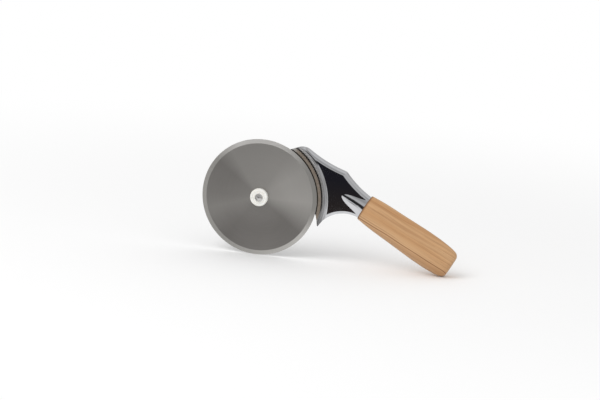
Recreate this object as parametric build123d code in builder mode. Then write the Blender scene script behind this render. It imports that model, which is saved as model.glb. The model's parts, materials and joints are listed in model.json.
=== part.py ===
from build123d import *
import os
from math import cos, radians, sin

os.makedirs("parts", exist_ok=True)

# A hand-held pizza wheel. It stands upright: the blade lies in the XZ plane with its axle along Y,
# its rim and the lowest corner of the handle are level, and +X runs from the wheel to the handle.
# Depth is measured from the blade's middle plane, and is positive towards the open face (-Y).
# All lengths are millimetres and all angles are degrees.

# Blade
blade_diameter = 100.0
blade_thickness = 1.2
bevel_width = 3.6
cutting_edge = 0.2

# Axle, from its shank outwards
shank_diameter = 4.0
snug_clearance = 0.03
sleeve_wall = 0.8
rivet_head_overlap = 0.6
rivet_head_height = 2.3
set_end_overlap = 1.2
set_end_height = 1.3
backing_rim = 1.55
backing_thickness = 0.8

# Nylon hub
running_clearance = 0.06
side_play = 0.1
barrel_wall = 1.6
flange_overlap = 3.1
flange_thickness = 3.0
flange_chamfer = 0.6
face_ring_gap = 1.3
face_ring_width = 0.8
face_ring_depth = 0.25
thrust_thickness = 0.9

# Cast head: back arm
arm_clearance = 1.0
arm_boss_diameter = 20.0
arm_boss_rise = 1.4
back_edge_round = 0.6
boss_edge_round = 0.6
arm_upper_hollow = 6.5
arm_lower_hollow = 5.0
arm_tip_round = 4.0
arm_root_round = 8.0
arm_overlap = 3.0

# Cast head: crescent guard and web
rim_clearance = 2.9
guard_slope_width = 7.6
guard_slope_bulge = 0.5
web_thickness = 8.6
brow_edge_round = 3.5
throat_edge_round = 2.5
horn_tip_round = 0.7
horn_root_inset = 3.65
horn_tip_reach = 3.0
horn_point_angle = 42.0
shoulder_back = 29.3
shoulder_up = 16.2
shoulder_round = 5.0
crown_round = 11.5
brow_hollow = 2.0
nape_hollow = 1.3

# Cast head: neck
neck_half_width = 10.3
neck_offset = 0.7
neck_tilt = 2.5
nose_length = 26.6
depth_share = 0.72

# Handle
joint_reach = 91.55
joint_height = 1.64
handle_slope = 28.4
handle_length = 89.0
joint_step = 1.45
swell_rise = 2.65
butt_flat_half_width = 7.6
butt_corner_round = 5.0
head_edge_round = 1.2

# Fasteners inside the neck and the handle
stud_diameter = 6.0
stud_chamfer = 0.6
stud_in_neck = 15.0
stud_in_handle = 24.0
stud_bore_clearance = 0.5
insert_wall = 1.7
insert_length = 20.0
insert_recess = 2.0
end_room = 1.0
pin_diameter = 2.5
pin_length = 9.0
pin_distance = 1.35
pin_chamfer = 0.3

# Outlines, as shares of the sizes that they follow.
# Guard crown, before its peak is rounded: shares of the blade's radius, along X and up Z.
crown_start_shares = (0.400, 0.846)
crown_peak_shares = (0.721, 0.972)
# How far from the crown's start to its peak the back arm reaches, inside the web.
crown_foot_share = 0.55
# How far down the horn's inner edge the back arm reaches, inside the web.
horn_bend_share = 0.80
# Bearings from the axle in degrees above +X: the horn's root and tip, and the places where the
# back arm's edges leave the boss and lie inside the guard.
horn_root_angle = -9.4
horn_tip_angle = -21.5
arm_upper_angle = 80.0
arm_lower_angle = -45.0
guard_upper_angle = 50.0
guard_lower_angle = -12.0
# Neck: share of the nose's length back from the joint, and share of the neck's half width.
neck_shares = ((1.00, 0.42), (0.72, 0.63), (0.45, 0.755), (0.20, 0.86), (0.00, 1.00))
# Handle: share of its length, and share of the swell's rise over the handle's head end.
handle_shares = ((0.00, 0.00), (0.11, 0.36), (0.36, 0.68), (0.66, 1.00), (0.88, 0.72))
# How fast the handle widens at its head end: share of the way along.
head_flare_share = 0.10
# The handle's side meets the round of the butt this many degrees before it is square to it.
butt_side_angle = 72.0

# Places and sizes that follow from the ones above
blade_radius = blade_diameter / 2
blade_half = blade_thickness / 2
shank_radius = shank_diameter / 2
sleeve_bore = shank_radius + snug_clearance
sleeve_radius = sleeve_bore + sleeve_wall
bush_bore = sleeve_radius + running_clearance
barrel_radius = bush_bore + barrel_wall
hub_hole = barrel_radius + snug_clearance
flange_radius = hub_hole + flange_overlap
rivet_head_radius = bush_bore + rivet_head_overlap
face_ring_inner = rivet_head_radius + face_ring_gap
face_ring_outer = face_ring_inner + face_ring_width
set_end_radius = shank_radius + set_end_overlap
backing_radius = set_end_radius + backing_rim
arm_boss_radius = arm_boss_diameter / 2
guard_radius = blade_radius + rim_clearance
web_half = web_thickness / 2
arm_front = -blade_half - arm_clearance
arm_back = -web_half
boss_back = arm_back - arm_boss_rise
flange_front = blade_half + flange_thickness
barrel_end = -blade_half - thrust_thickness
rivet_seat = flange_front + side_play
backing_back = boss_back - backing_thickness
cut_overrun = blade_thickness
# An edge lies on a level when it is this near to it.
level_reach = blade_thickness / 2

stud_radius = stud_diameter / 2
insert_bore = stud_radius + snug_clearance
insert_radius = insert_bore + insert_wall
pin_radius = pin_diameter / 2
pin_drop = insert_radius + pin_distance + pin_radius
handle_end_half_width = neck_half_width + joint_step

slope_cos = cos(radians(handle_slope))
slope_sin = sin(radians(handle_slope))
corner_along = handle_length - butt_corner_round
butt_low = (
    joint_height
    - corner_along * slope_sin
    - butt_flat_half_width * slope_cos
    - butt_corner_round
)
butt_far = (
    joint_reach
    + corner_along * slope_cos
    + butt_flat_half_width * slope_sin
    + butt_corner_round
)
wheel_x = (blade_radius - butt_far) / 2
wheel_z = max(blade_radius, -butt_low)


def along_handle(along, up):
    """A point beside the handle's axis, counted from the joint, as X and Z from the axle."""
    return (
        joint_reach + along * slope_cos + up * slope_sin,
        joint_height - along * slope_sin + up * slope_cos,
    )


def on_blade(shares):
    """A point given in shares of the blade's radius, as X and Z from the axle."""
    return (shares[0] * blade_radius, shares[1] * blade_radius)


def around_axle(radius, angle):
    """A point at a radius and an angle above +X, as X and Z from the axle."""
    return (radius * cos(radians(angle)), radius * sin(radians(angle)))


def hollow_between(start, end, hollow):
    """The middle of a stretch from start to end that is hollowed inwards, to its right."""
    chord = Vector(*end) - Vector(*start)
    inward = Vector(chord.Y, -chord.X).normalized()
    return (Vector(*start) + Vector(*end)) / 2 + inward * hollow


def dome_radius(rim_radius, height):
    """The radius of a dome that rises to a height from its rim."""
    return (rim_radius**2 + height**2) / (2 * height)


def beside_arm(edge):
    """Whether an edge lies between the axle's boss and the guard's hollow."""
    return arm_boss_radius < (edge.center() - Vector(*wheel_centre)).length < guard_radius


# Planes. Seen square to wheel_face, X is to the right, Z is up and depth comes towards the eye.
wheel_centre = (wheel_x, 0, wheel_z)
wheel_face = Plane(origin=wheel_centre, x_dir=(1, 0, 0), z_dir=(0, -1, 0))
axle_section = Plane(origin=wheel_centre, x_dir=(1, 0, 0), z_dir=(0, 0, -1))
axle = Axis(wheel_centre, (0, -1, 0))

joint_centre = (wheel_x + joint_reach, 0, wheel_z + joint_height)
handle_way = (slope_cos, 0, -slope_sin)
handle_side = Plane(origin=joint_centre, x_dir=handle_way, z_dir=(0, -1, 0))
joint_face = Plane(origin=joint_centre, x_dir=(slope_sin, 0, slope_cos), z_dir=handle_way)
handle_axis = Axis(joint_centre, handle_way)

neck_centre = handle_side.from_local_coords(Vector(0, -neck_offset, 0))
neck_side = Plane(
    origin=neck_centre,
    x_dir=(cos(radians(handle_slope - neck_tilt)), 0, -sin(radians(handle_slope - neck_tilt))),
    z_dir=(0, -1, 0),
)
neck_axis = Axis(neck_centre, neck_side.x_dir)

# Blade: a disc ground to the same bevel on both faces.
with BuildPart() as blade:
    with BuildSketch(axle_section):
        with BuildLine():
            Polyline(
                (hub_hole, blade_half),
                (blade_radius - bevel_width, blade_half),
                (blade_radius, cutting_edge / 2),
                (blade_radius, -cutting_edge / 2),
                (blade_radius - bevel_width, -blade_half),
                (hub_hole, -blade_half),
                close=True,
            )
        make_face()
    revolve(axis=axle)
blade.part.label = "blade"
export_step(blade.part, "parts/blade.step")

# Hub bush: a flange in front of the blade, with a shallow moulded ring in its face, and a barrel
# through the blade that runs on the sleeve.
with BuildPart() as hub_bush:
    with BuildSketch(axle_section):
        with BuildLine():
            Polyline(
                (bush_bore, flange_front),
                (face_ring_inner, flange_front),
                (face_ring_inner, flange_front - face_ring_depth),
                (face_ring_outer, flange_front - face_ring_depth),
                (face_ring_outer, flange_front),
                (flange_radius - flange_chamfer, flange_front),
                (flange_radius, flange_front - flange_chamfer),
                (flange_radius, blade_half),
                (barrel_radius, blade_half),
                (barrel_radius, barrel_end),
                (bush_bore, barrel_end),
                close=True,
            )
        make_face()
    revolve(axis=axle)
hub_bush.part.label = "hub_bush"
export_step(hub_bush.part, "parts/hub_bush.step")

# Thrust washer: keeps the blade's back off the arm.
with BuildPart() as hub_washer:
    with BuildSketch(wheel_face.offset(barrel_end)):
        Circle(flange_radius)
        Circle(hub_hole, mode=Mode.SUBTRACT)
    extrude(amount=thrust_thickness)
hub_washer.part.label = "hub_washer"
export_step(hub_washer.part, "parts/hub_washer.step")

# Spacer sleeve: clamped between the rivet's head and the arm, so the hub stays free.
with BuildPart() as axle_sleeve:
    with BuildSketch(wheel_face.offset(arm_front)):
        Circle(sleeve_radius)
        Circle(sleeve_bore, mode=Mode.SUBTRACT)
    extrude(amount=rivet_seat - arm_front)
axle_sleeve.part.label = "axle_sleeve"
export_step(axle_sleeve.part, "parts/axle_sleeve.step")

# Rivet: a domed head, a plain shank, and an end set over the backing washer.
with BuildPart() as axle_rivet:
    with BuildSketch(axle_section):
        with BuildLine():
            head_rim = (rivet_head_radius, rivet_seat)
            head_top = (0, rivet_seat + rivet_head_height)
            set_rim = (set_end_radius, backing_back)
            set_top = (0, backing_back - set_end_height)
            RadiusArc(head_top, head_rim, dome_radius(rivet_head_radius, rivet_head_height))
            Polyline(
                head_rim,
                (shank_radius, rivet_seat),
                (shank_radius, backing_back),
                set_rim,
            )
            RadiusArc(set_rim, set_top, dome_radius(set_end_radius, set_end_height))
            Line(set_top, head_top)
        make_face()
    revolve(axis=axle)
axle_rivet.part.label = "axle_rivet"
export_step(axle_rivet.part, "parts/axle_rivet.step")

# Backing washer under the rivet's set end.
with BuildPart() as rivet_washer:
    with BuildSketch(wheel_face.offset(backing_back)):
        Circle(backing_radius)
        Circle(sleeve_bore, mode=Mode.SUBTRACT)
    extrude(amount=backing_thickness)
rivet_washer.part.label = "rivet_washer"
export_step(rivet_washer.part, "parts/rivet_washer.step")

# Neck of the cast head: an oval cone whose nose fades into the web.
with BuildPart() as neck:
    neck_points = [
        (-along * nose_length, across * neck_half_width) for along, across in neck_shares
    ]
    with BuildSketch(neck_side):
        with BuildLine():
            flank = Spline(neck_points)
            Polyline(
                flank @ 1,
                (arm_overlap, neck_half_width),
                (arm_overlap, 0),
                (-nose_length, 0),
                flank @ 0,
            )
        make_face()
    revolve(axis=neck_axis)
    scale(by=(1, depth_share, 1), about=(0, 0, 0))

# Cast head, in one piece. The web block is shaped first, wider than it ends up, so that its
# outer edges are rounded in one run. The guard's hollow and the horn are then cut out of it, and
# one round runs along the back of the throat, about the horn's tip and up its inner edge.
crown_start = on_blade(crown_start_shares)
crown_peak = on_blade(crown_peak_shares)
crown_foot = Vector(*crown_start) + (Vector(*crown_peak) - Vector(*crown_start)) * crown_foot_share
horn_root = around_axle(guard_radius - horn_root_inset, horn_root_angle)
horn_tip = around_axle(guard_radius + horn_tip_reach, horn_tip_angle)
horn_way = Vector(*horn_tip) - Vector(*horn_root)
horn_bend = Vector(*horn_root) + horn_way * horn_bend_share
shoulder = along_handle(-shoulder_back, shoulder_up)
neck_top = along_handle(0, neck_half_width - neck_offset)
neck_bottom = along_handle(0, -neck_half_width)
crown_entry = (Vector(*crown_start) + crown_foot) / 2

# The throat leaves the horn's tip at an angle to its inner edge, and bends evenly to the neck.
tip_way = (-horn_way).rotate(Axis.Z, -horn_point_angle)
throat_chord = Vector(*neck_bottom) - Vector(*horn_tip)
half_bend = radians(tip_way.get_angle(throat_chord))
throat_radius = throat_chord.length / 2 / sin(half_bend)
throat_centre = Vector(*horn_tip) + Vector(tip_way.Y, -tip_way.X).normalized() * throat_radius
throat_middle = throat_centre + Vector(-throat_chord.Y, throat_chord.X).normalized() * throat_radius
block_low = throat_centre.Y
block_left = throat_centre.X - throat_radius

arm_outer = guard_radius + arm_overlap
upper_root = around_axle(arm_boss_radius, arm_upper_angle)
lower_root = around_axle(arm_boss_radius, arm_lower_angle)

# Back arm of the cast head: a fan from the axle's boss to the guard, behind the blade.
with BuildPart() as back_arm:
    with BuildSketch(wheel_face.offset(arm_back)):
        with BuildLine():
            Line(crown_foot, crown_start)
            ThreePointArc(
                crown_start,
                hollow_between(upper_root, crown_start, arm_upper_hollow),
                upper_root,
            )
            Line(upper_root, lower_root)
            ThreePointArc(
                lower_root,
                hollow_between(horn_root, lower_root, arm_lower_hollow),
                horn_root,
            )
            Polyline(horn_root, horn_bend, around_axle(arm_outer, guard_lower_angle))
            ThreePointArc(
                around_axle(arm_outer, guard_lower_angle),
                around_axle(arm_outer, (guard_lower_angle + guard_upper_angle) / 2),
                around_axle(arm_outer, guard_upper_angle),
            )
            Line(around_axle(arm_outer, guard_upper_angle), crown_foot)
        make_face()
        fillet(vertices().sort_by_distance(Vector(*crown_start))[0], arm_tip_round)
        fillet(vertices().sort_by_distance(Vector(*horn_root))[0], arm_root_round)
    extrude(amount=arm_front - arm_back)
    rim = faces().filter_by(Axis.Y).edges()
    fillet(rim.filter_by(beside_arm), back_edge_round)

# Boss of the cast head, round the axle.
with BuildPart() as arm_boss:
    with BuildSketch(wheel_face.offset(boss_back)):
        Circle(arm_boss_radius)
    extrude(amount=arm_front - boss_back)
    fillet(edges(), boss_edge_round)

with BuildPart() as head_casting:
    with BuildSketch(wheel_face.offset(-web_half)):
        with BuildLine():
            Line(crown_start, crown_peak)
            ThreePointArc(crown_peak, hollow_between(crown_peak, shoulder, brow_hollow), shoulder)
            ThreePointArc(shoulder, hollow_between(shoulder, neck_top, nape_hollow), neck_top)
            Polyline(
                neck_top,
                along_handle(0, -2 * neck_half_width),
                throat_centre,
                (block_left, block_low),
                (crown_start[0], block_low),
                crown_start,
            )
        make_face()
        with Locations(throat_centre):
            Circle(throat_radius, mode=Mode.SUBTRACT)
        fillet(vertices().sort_by_distance(Vector(*shoulder))[0], shoulder_round)
        fillet(vertices().sort_by_distance(Vector(*crown_peak))[0], crown_round)
    extrude(amount=web_thickness)
    for depth, edge_round in ((web_half, brow_edge_round), (-web_half, back_edge_round)):
        level = wheel_face.offset(depth)
        rim = edges().filter_by_position(Axis.Y, -depth - level_reach, -depth + level_reach)
        curved = rim.filter_by(GeomType.CIRCLE)
        throat = curved.sort_by_distance(level.from_local_coords(throat_middle))[0]
        entry = rim.sort_by_distance(level.from_local_coords(crown_entry))[0]
        fillet([edge for edge in curved if edge != throat] + [entry], edge_round)
    throat_front = wheel_face.offset(web_half).from_local_coords(throat_middle)
    fillet(edges().sort_by_distance(throat_front)[0], throat_edge_round)
    with BuildSketch(axle_section):
        with BuildLine():
            slope_foot = Vector(guard_radius, arm_front)
            slope_top = Vector(guard_radius + guard_slope_width, web_half)
            ThreePointArc(
                slope_foot,
                hollow_between(slope_top, slope_foot, guard_slope_bulge),
                slope_top,
            )
            Polyline(
                slope_top,
                (slope_top.X, web_half + cut_overrun),
                (0, web_half + cut_overrun),
                (0, -web_half - cut_overrun),
                (guard_radius, -web_half - cut_overrun),
                slope_foot,
            )
        make_face()
    revolve(axis=axle, mode=Mode.SUBTRACT)
    with BuildSketch(wheel_face.offset(-web_half - cut_overrun)):
        with BuildLine():
            Polyline(
                horn_root,
                Vector(*horn_tip) + horn_way,
                (crown_start[0], block_low - blade_radius),
                (crown_start[0], horn_root[1]),
                close=True,
            )
        make_face()
    extrude(amount=web_thickness + 2 * cut_overrun, mode=Mode.SUBTRACT)
    tip_middle = wheel_face.from_local_coords(Vector(*horn_tip))
    fillet(edges().filter_by(Axis.Y).sort_by_distance(tip_middle)[0], horn_tip_round)
    throat_back = wheel_face.offset(-web_half).from_local_coords(throat_middle)
    fillet(edges().sort_by_distance(throat_back)[0], back_edge_round)
    add(back_arm.part)
    add(arm_boss.part)
    add(neck.part)
    split(bisect_by=joint_face, keep=Keep.BOTTOM)
    with BuildSketch(joint_face):
        Circle(insert_bore)
    extrude(amount=-stud_in_neck - end_room, mode=Mode.SUBTRACT)
    with BuildSketch(joint_face):
        with Locations((-pin_drop, 0)):
            Circle(pin_radius + snug_clearance)
    extrude(amount=-pin_length / 2 - end_room, mode=Mode.SUBTRACT)
    with BuildSketch(wheel_face.offset(boss_back)):
        Circle(sleeve_bore)
    extrude(amount=arm_front - boss_back, mode=Mode.SUBTRACT)
head_casting.part.label = "head_casting"
export_step(head_casting.part, "parts/head_casting.step")

# Stud: half in the neck's tapped hole, half in the handle's insert.
with BuildPart() as tang_stud:
    with BuildSketch(joint_face.offset(-stud_in_neck)):
        Circle(stud_radius)
    extrude(amount=stud_in_neck + stud_in_handle)
    chamfer(edges(), stud_chamfer)
tang_stud.part.label = "tang_stud"
export_step(tang_stud.part, "parts/tang_stud.step")

# Threaded brass insert, sunk a little below the handle's end.
with BuildPart() as handle_insert:
    with BuildSketch(joint_face.offset(insert_recess)):
        Circle(insert_radius)
        Circle(insert_bore, mode=Mode.SUBTRACT)
    extrude(amount=insert_length)
handle_insert.part.label = "handle_insert"
export_step(handle_insert.part, "parts/handle_insert.step")

# Dowel below the stud: it stops the oval handle from turning on the neck.
with BuildPart() as index_pin:
    pin_centre = joint_face.offset(-pin_length / 2).from_local_coords(Vector(-pin_drop, 0, 0))
    with BuildSketch(Plane(origin=pin_centre, x_dir=joint_face.x_dir, z_dir=handle_way)):
        Circle(pin_radius)
    extrude(amount=pin_length)
    chamfer(edges(), pin_chamfer)
index_pin.part.label = "index_pin"
export_step(index_pin.part, "parts/index_pin.step")

# Handle: a turned form pressed to an oval, with a butt sawn flat across. Its other end is bored
# for the insert, the stud and the dowel.
swell = [
    (along * handle_length, handle_end_half_width + rise * swell_rise)
    for along, rise in handle_shares
]
butt_centre = Vector(corner_along, butt_flat_half_width)
butt_side = radians(butt_side_angle)
butt_start = butt_centre + Vector(cos(butt_side), sin(butt_side)) * butt_corner_round
with BuildPart() as handle:
    with BuildSketch(handle_side):
        with BuildLine():
            flank = Spline(
                swell + [butt_start],
                tangents=[Vector(1, head_flare_share), Vector(sin(butt_side), -cos(butt_side))],
            )
            round_end = butt_centre + Vector(butt_corner_round, 0)
            butt_middle = butt_centre + Vector(cos(butt_side / 2), sin(butt_side / 2)) * butt_corner_round
            ThreePointArc(flank @ 1, butt_middle, round_end)
            Polyline(
                round_end,
                (handle_length + cut_overrun, butt_flat_half_width),
                (handle_length + cut_overrun, 0),
                (0, 0),
                flank @ 0,
            )
        make_face()
        fillet(vertices().sort_by_distance(Vector(*swell[0]))[0], head_edge_round)
    revolve(axis=handle_axis)
    scale(by=(1, depth_share, 1), about=(0, 0, 0))
    split(bisect_by=joint_face.offset(handle_length), keep=Keep.BOTTOM)
    with BuildSketch(joint_face):
        Circle(insert_radius + snug_clearance)
    extrude(amount=insert_recess + insert_length, mode=Mode.SUBTRACT)
    with BuildSketch(joint_face):
        Circle(stud_radius + stud_bore_clearance)
    extrude(amount=stud_in_handle + end_room, mode=Mode.SUBTRACT)
    with BuildSketch(joint_face):
        with Locations((-pin_drop, 0)):
            Circle(pin_radius + snug_clearance)
    extrude(amount=pin_length / 2 + end_room, mode=Mode.SUBTRACT)
handle.part.label = "handle"
export_step(handle.part, "parts/handle.step")
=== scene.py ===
import json
from math import cos, radians, sin

import bpy
from mathutils import Matrix, Vector


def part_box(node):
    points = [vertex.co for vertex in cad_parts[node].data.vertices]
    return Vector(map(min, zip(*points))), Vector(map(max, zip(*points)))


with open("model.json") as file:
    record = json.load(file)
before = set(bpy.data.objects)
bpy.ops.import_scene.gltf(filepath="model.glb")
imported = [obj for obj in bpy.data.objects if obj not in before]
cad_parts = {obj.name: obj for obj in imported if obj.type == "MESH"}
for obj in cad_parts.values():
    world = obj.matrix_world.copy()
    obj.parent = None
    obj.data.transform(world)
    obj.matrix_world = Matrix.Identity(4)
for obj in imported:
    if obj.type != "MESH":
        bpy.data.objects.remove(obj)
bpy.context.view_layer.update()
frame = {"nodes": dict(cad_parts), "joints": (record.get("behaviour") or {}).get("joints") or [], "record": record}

# Cast head: a zinc casting in one piece, with the arm behind the wheel, the crescent guard, the
# web and the neck. It is buffed and chromed all over, but the floor of the crescent lies too deep
# for the buffing wheel, so the plating there stays satin. The warm taupe of that floor is a painted
# reflection. Near the crown it turns light as a painted highlight, at the foot of the slope it
# darkens as painted shade, and along the blade's rim it is a painted shadow. On the slope, a dark
# wedge is a painted reflection, and its darker streaks are polishing lines and painted reflection.
mm = 0.001
axle_centre = Vector(frame["joints"][0]["pos_m"])
mounts = {mount["name"]: mount for mount in frame["record"]["mounts"]}
blade_radius = (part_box("blade")[1].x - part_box("blade")[0].x) / 2
rim_clearance = 2.9 * mm
guard_radius = blade_radius + rim_clearance
rim_shadow = 0.7 * mm
recess_back = 2.2 * mm
recess_edge = 0.4 * mm
slope_width = 7.4 * mm
slope_end = guard_radius + slope_width
back_depth = mounts["web_back"]["pos_m"][1] - axle_centre.y
back_edge = 0.6 * mm
crown_bearing = radians(53)
crown_fade = radians(8)
dark_wedge_start = radians(33)
dark_wedge_end = radians(52)
dark_wedge_fade_in = radians(4)
dark_wedge_fade_out = radians(3)
dark_wedge_draw_in = 6.5 * mm
dark_wedge_thin = 0.25 * mm
dark_wedge_widening = 2.6 * mm
dark_wedge_core_share = 0.5
chrome_colour = (0.715, 0.718, 0.740, 1)
chrome_tarnish = (0.60, 0.61, 0.63, 1)
slope_streak_and_reflection_dark = (0.36, 0.35, 0.34, 1)
painted_reflection_colour = (0.05, 0.05, 0.05, 1)
recess_painted_reflection = (0.340, 0.288, 0.235, 1)
recess_band_and_shade_colour = (0.190, 0.145, 0.110, 1)
crown_painted_highlight = (0.52, 0.51, 0.49, 1)
painted_rim_shadow_colour = (0.020, 0.018, 0.016, 1)
cloud_cells = (60, 60, 60)
smear_cells = (900, 900, 140)
lapping_cells = (2600, 2600, 500)
recess_band_cells = (500, 500, 500)
slope_line_cells = (800, 4, 0)
haze_span = (0.45, 0.75)
recess_band_span = (0.35, 0.65)
slope_line_span = (0.42, 0.62)
slope_line_share = 0.6
recess_band_share = 0.4
foot_shade_share = 0.3
recess_metal = 0.4
recess_roughness = 0.40
recess_band_roughness = 0.08
buffed_roughness = 0.045
haze_roughness = 0.05
smear_roughness = 0.03
slope_roughness = 0.08
cloud_relief_share = 0.4
lapping_relief_share = 0.02
recess_relief_share = 0.1
chrome_relief = 0.05 * mm


class Field:
    """One output of a shader's nodes. Operators on it add Math nodes, and add makes any other node."""

    def __init__(self, tree, socket=None):
        self.tree = tree
        self.socket = socket

    def add(self, kind, settings=None, inputs=None, output=0):
        """A new node. Its settings come first, and then the values or links of its sockets."""
        node = self.tree.nodes.new("ShaderNode" + kind)
        for name, value in (settings or {}).items():
            if name != "stops":
                setattr(node, name, value)
                continue
            stops = node.color_ramp.elements
            while len(stops) < len(value):
                stops.new(1)
            for stop, (place, colour) in zip(stops, value):
                stop.position = place
                stop.color = colour
        live = [socket for socket in node.inputs if socket.enabled]
        names = [socket.name for socket in live]
        for key, value in (inputs or {}).items():
            socket = live[key if isinstance(key, int) else names.index(key)]
            if isinstance(value, Field):
                self.tree.links.new(value.socket, socket)
            else:
                socket.default_value = value
        outputs = [socket for socket in node.outputs if socket.enabled]
        names = [socket.name for socket in outputs]
        if outputs:
            return Field(self.tree, outputs[output if isinstance(output, int) else names.index(output)])

    def maths(self, operation, *values):
        return self.add("Math", {"operation": operation}, dict(enumerate(values)))

    def __add__(self, other):
        return self.maths("ADD", self, other)

    __radd__ = __add__

    def __sub__(self, other):
        return self.maths("SUBTRACT", self, other)

    def __rsub__(self, other):
        return self.maths("SUBTRACT", other, self)

    def __mul__(self, other):
        return self.maths("MULTIPLY", self, other)

    __rmul__ = __mul__

    def __truediv__(self, other):
        return self.maths("DIVIDE", self, other)

    def __abs__(self):
        return self.maths("ABSOLUTE", self)

    def rise(self, low, high):
        """0 below low and 1 above high, with a smooth step between."""
        return self.add(
            "MapRange",
            {"interpolation_type": "SMOOTHSTEP"},
            {"Value": self, "From Min": low, "From Max": high},
        )

    def tint(self, low, high):
        """The colour low where this is 0, and the colour high where it is 1."""
        return self.add("Mix", {"data_type": "RGBA"}, {"Factor": self, "A": low, "B": high})

    def along(self, way):
        """How far this vector reaches along a direction."""
        return self.add("VectorMath", {"operation": "DOT_PRODUCT"}, {0: self, 1: way}, "Value")

    def noise(self, cells, detail=3, roughness=0.5):
        """Noise at this place, with a number of cells in each unit along X, Y and Z."""
        place = self.add("VectorMath", {"operation": "MULTIPLY"}, {0: self, 1: cells})
        return self.add(
            "TexNoise",
            {"noise_dimensions": "3D"},
            {"Vector": place, "Scale": 1, "Detail": detail, "Roughness": roughness},
        )


def new_finish(name):
    """An empty material, and the place on its piece in metres, which rides with the piece."""
    material = bpy.data.materials.new(name)
    material.use_nodes = True
    material.node_tree.nodes.clear()
    place = Field(material.node_tree).add("TexCoord", output="Object")
    return material, place


def coat(material, sockets, relief=None, depth=0):
    """Ends a material in one Principled shader, with a relief of the given depth in metres."""
    tree = Field(material.node_tree)
    if relief:
        bump = {"Strength": 1, "Distance": depth, "Height": relief}
        sockets = dict(sockets, Normal=tree.add("Bump", {}, bump))
    tree.add("OutputMaterial", {}, {"Surface": tree.add("BsdfPrincipled", {}, sockets)})


def dress(node, material):
    for slot in frame["nodes"][node].material_slots:
        slot.material = material


def from_axle(place):
    """The place counted from the axle: outwards, above +X in radians, and towards the back."""
    local = place.add("VectorMath", {"operation": "SUBTRACT"}, {0: place, 1: axle_centre})
    across = local.along((1, 0, 0))
    up = local.along((0, 0, 1))
    square = across * across + up * up
    return square.maths("SQRT", square), up.maths("ARCTAN2", up, across), local.along((0, 1, 0))


def grain(ways, cells, detail=2, roughness=0.5):
    """Noise over three numbers, such as a radius and a bearing, with cells counted in their units."""
    place = ways[0].add("CombineXYZ", {}, dict(zip("XYZ", ways)))
    return place.noise(cells, detail, roughness)


chrome, place = new_finish("chromed_zinc")
outwards, bearing, depth = from_axle(place)
in_recess = (1 - outwards.rise(guard_radius, guard_radius + 2 * recess_edge)) * (
    1 - depth.rise(recess_back - recess_edge, recess_back + recess_edge)
)
in_front = 1 - depth.rise(back_depth - 2 * back_edge, back_depth - back_edge)
on_slope = in_front * outwards.rise(guard_radius, guard_radius + recess_edge) * (
    1 - outwards.rise(slope_end - recess_edge, slope_end + recess_edge)
)
# Painted shadow: the recess is near black along the blade's rim.
rim_shadow_mask = 1 - outwards.rise(blade_radius + rim_shadow / 2, blade_radius + rim_shadow)
# Painted shade: the recess darkens towards the foot of the slope.
painted_foot_shade = outwards.rise(guard_radius - 2 * recess_edge, guard_radius)
# Painted highlight: the recess turns light towards the crown.
near_crown = bearing.rise(crown_bearing, crown_bearing + crown_fade)
# Painted reflection: a near black wedge along the top of the guard slope, widening as it runs down.
dark_wedge_radius = slope_end - (bearing - dark_wedge_start) * dark_wedge_draw_in
dark_wedge_half = dark_wedge_thin + (dark_wedge_end - bearing) * dark_wedge_widening
across_dark_wedge = abs(outwards - dark_wedge_radius) / dark_wedge_half
along_dark_wedge = bearing.rise(dark_wedge_start, dark_wedge_start + dark_wedge_fade_in) * (
    1 - bearing.rise(dark_wedge_end - dark_wedge_fade_out, dark_wedge_end)
)
painted_dark_wedge = in_front * (1 - across_dark_wedge.rise(dark_wedge_core_share, 1)) * along_dark_wedge
cloud = place.noise(cloud_cells, detail=4)
haze = cloud.rise(*haze_span)
smear = place.noise(smear_cells)
lapping = place.noise(lapping_cells, detail=2)
recess_bands = place.noise(recess_band_cells).rise(*recess_band_span)
slope_lines = grain((outwards, bearing, depth), slope_line_cells).rise(*slope_line_span)
buffed = haze.tint(chrome_colour, chrome_tarnish)
# Darker streaks along the slope: polishing lines, and a painted darker reflection.
sloped = (on_slope * slope_lines * slope_line_share).tint(buffed, slope_streak_and_reflection_dark)
with_dark_wedge = painted_dark_wedge.tint(sloped, painted_reflection_colour)
# The recess's colour: a painted warm reflection, random bands, and painted shade at the slope's foot.
recess_painted_tone = (recess_bands * recess_band_share + painted_foot_shade * foot_shade_share).tint(recess_painted_reflection, recess_band_and_shade_colour)
with_rim_shadow = rim_shadow_mask.tint(near_crown.tint(recess_painted_tone, crown_painted_highlight), painted_rim_shadow_colour)
satin_level = recess_roughness + recess_bands * recess_band_roughness
bright_level = (
    buffed_roughness + haze * haze_roughness + smear * smear_roughness + on_slope * slope_roughness
)
coat(
    chrome,
    {
        "Base Color": in_recess.tint(with_dark_wedge, with_rim_shadow),
        "Metallic": 1 - in_recess * (1 - recess_metal),
        "Roughness": in_recess * satin_level + (1 - in_recess) * bright_level,
    },
    relief=cloud * cloud_relief_share
    + lapping * lapping_relief_share
    + in_recess * recess_bands * recess_relief_share,
    depth=chrome_relief,
)
dress("head_casting", chrome)

# Axle rivet: polished stainless steel, with a domed head on the open face and a set end behind.
# The polish is worn a little uneven, which softens what it mirrors.
polished_colour = (0.72, 0.71, 0.70, 1)
wear_cells = (700, 200, 700)
polished_roughness = 0.22
wear_roughness = 0.14
fine_relief = 0.01 * mm
polished, place = new_finish("polished_steel")
wear = place.noise(wear_cells)
coat(
    polished,
    {"Base Color": polished_colour, "Metallic": 1, "Roughness": polished_roughness + wear * wear_roughness},
    relief=wear,
    depth=fine_relief,
)
dress("axle_rivet", polished)

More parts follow.
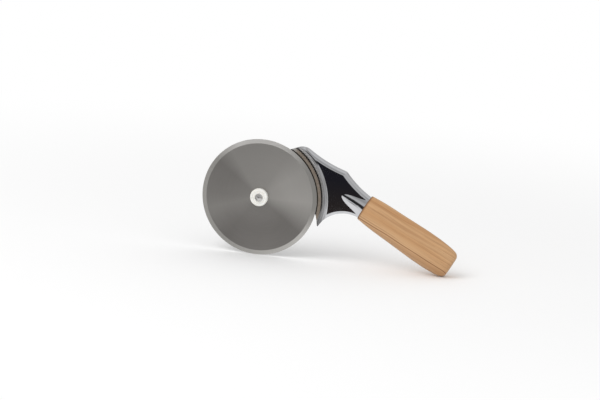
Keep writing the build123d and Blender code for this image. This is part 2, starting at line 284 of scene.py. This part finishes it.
# Backing washer: punched from steel sheet and tumbled until its edges are soft. It lies under
# the rivet's set end, on the back of the arm.
washer_colour = (0.55, 0.55, 0.56, 1)
washer_dark = (0.42, 0.42, 0.43, 1)
pit_cells = (2500, 2500, 2500)
pit_span = (0.4, 0.7)
tumbled_roughness = 0.28
pit_roughness = 0.15
pit_relief = 0.02 * mm
tumbled, place = new_finish("washer_steel")
pits = place.noise(pit_cells, detail=4)
coat(
    tumbled,
    {
        "Base Color": pits.rise(*pit_span).tint(washer_colour, washer_dark),
        "Metallic": 1,
        "Roughness": tumbled_roughness + pits * pit_roughness,
    },
    relief=pits,
    depth=pit_relief,
)
dress("rivet_washer", tumbled)

# Spacer sleeve, stud and dowel: steel turned on a lathe and left as it came off the tool. All
# three are hidden, in the hub and between the neck and the handle.
turned_colour = (0.50, 0.50, 0.51, 1)
tool_cells = (3000, 3000, 3000)
turned_roughness = 0.30
tool_roughness = 0.15
turned_steel, place = new_finish("turned_steel")
tool_marks = place.noise(tool_cells, detail=2)
coat(
    turned_steel,
    {
        "Base Color": turned_colour,
        "Metallic": 1,
        "Roughness": turned_roughness + tool_marks * tool_roughness,
    },
    relief=tool_marks,
    depth=fine_relief,
)
for node in ("axle_sleeve", "tang_stud", "index_pin"):
    dress(node, turned_steel)

# Blade: a stainless disc, brushed in circles on a turntable and ground to a bevel at the rim.
# The brushing leaves fine rings. The steel is painted lighter and darker in sectors round the hub and
# round the bevel, a painted reflection of the brushed sheen. Each step below is a share of a turn,
# from -X by way of the lowest point, and how light the painted reflection makes the steel there.
blade_light = (0.72, 0.70, 0.665, 1)
blade_dark = (0.200, 0.188, 0.178, 1)
bevel_light = (0.82, 0.80, 0.77, 1)
bevel_dark = (0.35, 0.34, 0.32, 1)
bevel_width = 3.6 * mm
bevel_start = blade_radius - bevel_width
ground_edge = 0.15 * mm
full_turn = radians(360)
right_side_share = 0.5
sheen_middle = 0.38
painted_sheen_shares = (
    (0.00, 0.20),
    (0.05, 0.30),
    (0.15, 0.10),
    (0.40, 0.10),
    (0.50, 0.70),
    (0.60, 0.70),
    (0.67, 0.50),
    (0.85, 0.40),
    (0.90, 0.15),
    (1.00, 0.20),
)
bevel_sheen_shares = (
    (0.00, 0.10),
    (0.25, 0.15),
    (0.40, 0.40),
    (0.48, 0.00),
    (0.60, 0.20),
    (0.70, 1.00),
    (0.82, 1.00),
    (0.90, 0.10),
)
hub_contrast = 0.55
contrast_start = 0.15 * blade_radius
contrast_end = 0.65 * blade_radius
patch_cells = (18, 18, 18)
brush_cells = (9000, 14, 500)
wide_ring_cells = (700, 6, 500)
grinding_cells = (2600, 260, 500)
noise_middle = 0.5
uneven_share = 0.2
flat_metal = 0.85
bevel_metal = 0.60
flat_roughness = 0.38
brush_roughness = 0.08
wide_ring_roughness = 0.05
bevel_smoothness = 0.08
brush_relief_share = 0.6
wide_ring_relief_share = 0.4
blade_relief = 0.006 * mm


def round_wheel(turn, shares):
    """A level that changes round the wheel, straight from each step of the list to the next."""
    stops = [(share, (level, level, level, 1)) for share, level in shares]
    return turn.add("ValToRGB", {"stops": stops}, {"Fac": turn}).along((1, 0, 0))


brushed, place = new_finish("blade_steel")
outwards, bearing, depth = from_axle(place)
on_bevel = outwards.rise(bevel_start - ground_edge, bevel_start + ground_edge)
turn = bearing / full_turn + right_side_share
brushing = grain((outwards, turn, depth), brush_cells, detail=3, roughness=0.7)
wide_rings = grain((outwards, turn, depth), wide_ring_cells)
grinding = grain((turn, outwards, depth), grinding_cells)
patch = place.noise(patch_cells, detail=2)
contrast = hub_contrast + outwards.rise(contrast_start, contrast_end) * (1 - hub_contrast)
# Painted reflection: the sheen's sectors, weaker towards the hub, with random patches and brushing.
shade = sheen_middle + (round_wheel(turn, painted_sheen_shares) - sheen_middle) * contrast
shade = shade + (patch - noise_middle) * uneven_share + (brushing - noise_middle) * uneven_share
flat = shade.tint(blade_dark, blade_light)
# Painted reflection on the bevel: lighter and darker round the turn.
ground = round_wheel(turn, bevel_sheen_shares).tint(bevel_dark, bevel_light)
coat(
    brushed,
    {
        "Base Color": on_bevel.tint(flat, ground),
        "Metallic": flat_metal - on_bevel * (flat_metal - bevel_metal),
        "Roughness": flat_roughness
        + brushing * brush_roughness
        + wide_rings * wide_ring_roughness
        - on_bevel * bevel_smoothness,
    },
    relief=(1 - on_bevel) * (brushing * brush_relief_share + wide_rings * wide_ring_relief_share)
    + on_bevel * grinding,
    depth=blade_relief,
)
dress("blade", brushed)

# Hub bush and thrust washer: white nylon mouldings, a little dulled by use. They turn with the
# blade on the sleeve.
nylon_colour = (0.90, 0.89, 0.85, 1)
nylon_worn = (0.80, 0.785, 0.735, 1)
grime_cells = (420, 420, 420)
grime_span = (0.45, 0.75)
grime_share = 0.6
mould_cells = (2200, 2200, 2200)
nylon_roughness = 0.42
mould_roughness = 0.15
scatter_weight = 0.1
scatter_depth = 1.0 * mm
scatter_shares = (1.0, 0.9, 0.8)
nylon, place = new_finish("nylon")
grime = place.noise(grime_cells, detail=4).rise(*grime_span)
mould = place.noise(mould_cells)
coat(
    nylon,
    {
        "Base Color": (grime * grime_share).tint(nylon_colour, nylon_worn),
        "Roughness": nylon_roughness + mould * mould_roughness,
        "Subsurface Weight": scatter_weight,
        "Subsurface Scale": scatter_depth,
        "Subsurface Radius": scatter_shares,
    },
    relief=mould,
    depth=fine_relief,
)
for node in ("hub_bush", "hub_washer"):
    dress(node, nylon)

# Threaded insert: turned brass, pressed into the handle's bore for the stud. It is hidden in the
# wood, and its skin has dulled.
brass_colour = (0.72, 0.56, 0.30, 1)
brass_dark = (0.55, 0.40, 0.19, 1)
tarnish_cells = (900, 900, 900)
tarnish_span = (0.4, 0.7)
brass_roughness = 0.24
tarnish_roughness = 0.15
brass, place = new_finish("brass")
tarnish = place.noise(tarnish_cells)
coat(
    brass,
    {
        "Base Color": tarnish.rise(*tarnish_span).tint(brass_colour, brass_dark),
        "Metallic": 1,
        "Roughness": brass_roughness + tarnish * tarnish_roughness,
    },
    relief=tarnish,
    depth=fine_relief,
)
dress("handle_insert", brass)

# Handle: light oak, turned, pressed to an oval and oiled. Its growth rings run almost along it,
# and the open pores of the early wood show as short dark flecks. One dark ring runs low along
# it, with a fainter one above it towards the neck, and the wood is dark where it meets the neck.
oak_light = (0.680, 0.440, 0.240, 1)
oak_warm = (0.560, 0.305, 0.135, 1)
oak_line = (0.250, 0.095, 0.028, 1)
oak_pore = (0.330, 0.165, 0.070, 1)
oak_end = (0.150, 0.070, 0.028, 1)
handle_way = Vector(mounts["handle_butt"]["axis"])
handle_up = Vector((-handle_way.z, 0, handle_way.x))
butt_centre = Vector(mounts["handle_butt"]["pos_m"])
head_end = min(
    (vertex.co - butt_centre).dot(handle_way) for vertex in frame["nodes"]["handle"].data.vertices
)
end_depth = 2.2 * mm
grain_tilt = 0.045
ring_slant = 0.45
wobble_height = 5 * mm
dark_growth = -7.9 * mm
dark_width = 0.65 * mm
second_growth = -6.2 * mm
second_fade = (-80 * mm, -30 * mm)
underside_shade_fade = 1.5 * mm
wobble_cells = (12, 30, 30)
early_cells = (560, 9, 20)
tone_cells = (110, 4, 8)
pore_cells = (45, 2600, 2600)
fibre_cells = (110, 5200, 5200)
fine_ring_cells = (1500, 14, 60)
early_span = (0.48, 0.66)
tone_span = (0.22, 0.82)
pore_span = (0.60, 0.72)
fine_ring_span = (0.40, 0.65)
underside_shade_share = 0.28
early_share = 0.32
fine_ring_share = 0.20
dark_line_share = 0.95
second_line_share = 0.5
pore_share = 0.25
early_pore_share = 0.5
end_share = 0.9
oak_roughness = 0.42
pore_roughness = 0.2
fibre_roughness = 0.08
oak_shine = 0.4
fibre_relief_share = 0.15
pore_relief_share = 0.6
early_relief_share = 0.2
oak_relief = 0.05 * mm
oak, place = new_finish("oak")
local = place.add("VectorMath", {"operation": "SUBTRACT"}, {0: place, 1: butt_centre})
along = local.along(handle_way)
up = local.along(handle_up)
inwards = local.along((0, 1, 0))
wobble = grain((along, up, inwards), wobble_cells)
growth = up - along * grain_tilt + inwards * ring_slant + (wobble - noise_middle) * wobble_height
early_wood = grain((growth, along, inwards), early_cells, detail=4, roughness=0.65).rise(*early_span)
tone = grain((growth, along, inwards), tone_cells).rise(*tone_span)
pores = grain((along, growth, inwards), pore_cells).rise(*pore_span)
fibres = grain((along, up, inwards), fibre_cells)
fine_rings = grain((growth, along, inwards), fine_ring_cells, detail=3, roughness=0.7)
fine_rings = fine_rings.rise(*fine_ring_span)
dark_line = 1 - abs(growth - dark_growth).rise(0, dark_width)
second_line = (1 - abs(growth - second_growth).rise(0, dark_width)) * (1 - along.rise(*second_fade))
# Painted shade: the oak is darker below the low dark ring, on the underside.
underside_shade = 1 - growth.rise(dark_growth - underside_shade_fade, dark_growth)
near_head = 1 - (along - head_end).rise(0, end_depth)
planed = tone.tint(oak_light, oak_warm)
with_underside_shade = (underside_shade * underside_shade_share).tint(planed, oak_line)
ringed = (early_wood * early_share + fine_rings * fine_ring_share).tint(with_underside_shade, oak_line)
lined = (dark_line * dark_line_share + second_line * second_line_share).tint(ringed, oak_line)
flecked = (pores * (pore_share + early_wood * early_pore_share)).tint(lined, oak_pore)
coat(
    oak,
    {
        "Base Color": (near_head * end_share).tint(flecked, oak_end),
        "Roughness": oak_roughness + pores * pore_roughness + fibres * fibre_roughness,
        "Specular IOR Level": oak_shine,
    },
    relief=fibres * fibre_relief_share - pores * pore_relief_share - early_wood * early_relief_share,
    depth=oak_relief,
)
dress("handle", oak)

# Floor: a pale sheet that keeps the shadow. Metal sees it bright near the object and to the left
# front, grey to the sides, and dark further off in front and behind.
floor_half = 12.0
floor_colour = (0.97, 0.97, 0.97, 1)
floor_near = 0.88
floor_side = 0.36
floor_left_front = 0.80
floor_dark_blue = (0.014, 0.014, 0.019, 1)
floor_dark_brown = (0.026, 0.021, 0.020, 1)
near_reach = (0.14, 0.21)
brown_reach = (0.22, 0.40)
side_reach = (0.05, 0.11)
lane_spread = 0.35
lane_left = -0.04
lane_slant = 0.22
lane_edge = 0.03
left_front_slant = 0.15
left_front_reach = (0.35, 0.90)
left_front_edge = 0.10
fade_reach = (0.22, 0.75)
corners = [(x * floor_half, y * floor_half, 0) for x, y in ((-1, -1), (1, -1), (1, 1), (-1, 1))]
floor_mesh = bpy.data.meshes.new("floor")
floor_mesh.from_pydata(corners, [], [(0, 1, 2, 3)])
floor = bpy.data.objects.new("floor", floor_mesh)
bpy.context.scene.collection.objects.link(floor)
pale, place = new_finish("floor_sheet")
glossy_ray = place.add("LightPath", output="Is Glossy Ray")
camera_ray = place.add("LightPath", output="Is Camera Ray")
far_off = place.add("VectorMath", {"operation": "LENGTH"}, {0: place}, "Value").rise(*fade_reach)
sideways = place.along((1, 0, 0))
forward = 0 - place.along((0, 1, 0))
reach = abs(forward)
aside = (abs(sideways) - reach * lane_spread).rise(*side_reach)
left = 1 - (sideways + forward * lane_slant - lane_left).rise(-lane_edge, lane_edge)
in_left_front = left * (forward - abs(sideways) * left_front_slant).rise(0, left_front_edge) * (
    1 - forward.rise(*left_front_reach)
)
level = (1 - reach.rise(*near_reach)) * floor_near * (1 - aside) + aside * floor_side
level = level * (1 - in_left_front) + in_left_front * floor_left_front
bright = place.add("Emission", {}, {"Strength": 1.0})
blue = place.add("Emission", {}, {"Color": floor_dark_blue, "Strength": 1.0})
brown = place.add("Emission", {}, {"Color": floor_dark_brown, "Strength": 1.0})
dark = place.add("MixShader", {}, {0: reach.rise(*brown_reach), 1: brown, 2: blue})
seen_in_metal = place.add("MixShader", {}, {0: level, 1: dark, 2: bright})
matt = place.add("BsdfDiffuse", {}, {"Color": floor_colour})
by_eye = place.add("MixShader", {}, {0: far_off * camera_ray, 1: matt, 2: bright})
surface = place.add("MixShader", {}, {0: glossy_ray, 1: by_eye, 2: seen_in_metal})
place.add("OutputMaterial", {}, {"Surface": surface})
floor_mesh.materials.append(pale)

# Studio: an even white room. In metal its walls are grey at eye level and lighter above, its
# ceiling darkens towards the front, and a low dark card stands in front, to the left.
room_level = 1.0
horizon_level = 0.35
wall_rise = (0.05, 0.25)
wall_gain = 0.32
ceiling_rise = (0.45, 0.85)
ceiling_tilt = 0.40
card_loss = 0.94
card_top = (0.26, 0.36)
card_front = (0.70, 0.85)
card_right = (0.02, 0.15)
world = bpy.data.worlds.new("studio")
bpy.context.scene.world = world
world.use_nodes = True
world.node_tree.nodes.clear()
way = Field(world.node_tree).add("TexCoord", output="Generated")
camera_ray = way.add("LightPath", output="Is Camera Ray")
glossy_ray = way.add("LightPath", output="Is Glossy Ray")
height = way.along((0, 0, 1))
deep = way.along((0, 1, 0))
wall = height.rise(*wall_rise) * wall_gain
ceiling = height.rise(*ceiling_rise) * deep * ceiling_tilt
card = (0 - deep).rise(*card_front) * (1 - height.rise(*card_top))
card = card * (1 - way.along((1, 0, 0)).rise(*card_right))
mirrored = (horizon_level + wall + ceiling) * (1 - card * card_loss)
level = camera_ray + (1 - camera_ray) * (glossy_ray * mirrored + (1 - glossy_ray) * room_level)
unlit = way.add("Background", {}, {"Strength": 0.0})
lit = way.add("Background", {}, {"Strength": 1.0})
surface = way.add("MixShader", {}, {0: level, 1: unlit, 2: lit})
way.add("OutputWorld", {}, {"Surface": surface})

# Key light: one wide soft panel above the left front. It throws the soft shadow, and metal
# doesn't mirror it.
key_size = 1.6
key_power = 16.0
key_place = Vector((-0.9, -1.3, 1.8))
key = bpy.data.lights.new("key", "AREA")
key.shape = "DISK"
key.size = key_size
key.energy = key_power
key_lamp = bpy.data.objects.new("key", key)
key_lamp.location = key_place
key_lamp.rotation_euler = (-key_place).to_track_quat("-Z", "Y").to_euler()
key_lamp.visible_glossy = False
bpy.context.scene.collection.objects.link(key_lamp)

# Camera: a long lens from the photographer's place, a little right of square and a little above.
# The picture's scale and the hub's pixel set where the object stands in it.
camera_azimuth = radians(11.27)
camera_elevation = radians(11.46)
camera_roll = radians(4.46)
camera_distance = 4.0
far_end = 100.0
sensor_width = 36.0
pixel_size = 0.853 * mm
picture_pixels = (600, 400)
hub_pixel = (259.56, 196.80)
towards = Vector(
    (
        sin(camera_azimuth) * cos(camera_elevation),
        -cos(camera_azimuth) * cos(camera_elevation),
        sin(camera_elevation),
    )
)
level_right = Vector((cos(camera_azimuth), sin(camera_azimuth), 0))
level_up = towards.cross(level_right)
right = level_right * cos(camera_roll) + level_up * sin(camera_roll)
up = towards.cross(right)
aim = (
    axle_centre
    + right * (picture_pixels[0] / 2 - hub_pixel[0]) * pixel_size
    - up * (picture_pixels[1] / 2 - hub_pixel[1]) * pixel_size
)
camera_data = bpy.data.cameras.new("camera")
camera_data.sensor_width = sensor_width
camera_data.lens = sensor_width * camera_distance / (picture_pixels[0] * pixel_size)
camera_data.clip_end = far_end
camera = bpy.data.objects.new("camera", camera_data)
camera.matrix_world = Matrix.Translation(aim + towards * camera_distance) @ Matrix(
    (right, up, towards)
).transposed().to_4x4()
bpy.context.scene.collection.objects.link(camera)
bpy.context.scene.camera = camera
bpy.context.scene.view_settings.view_transform = "Standard"
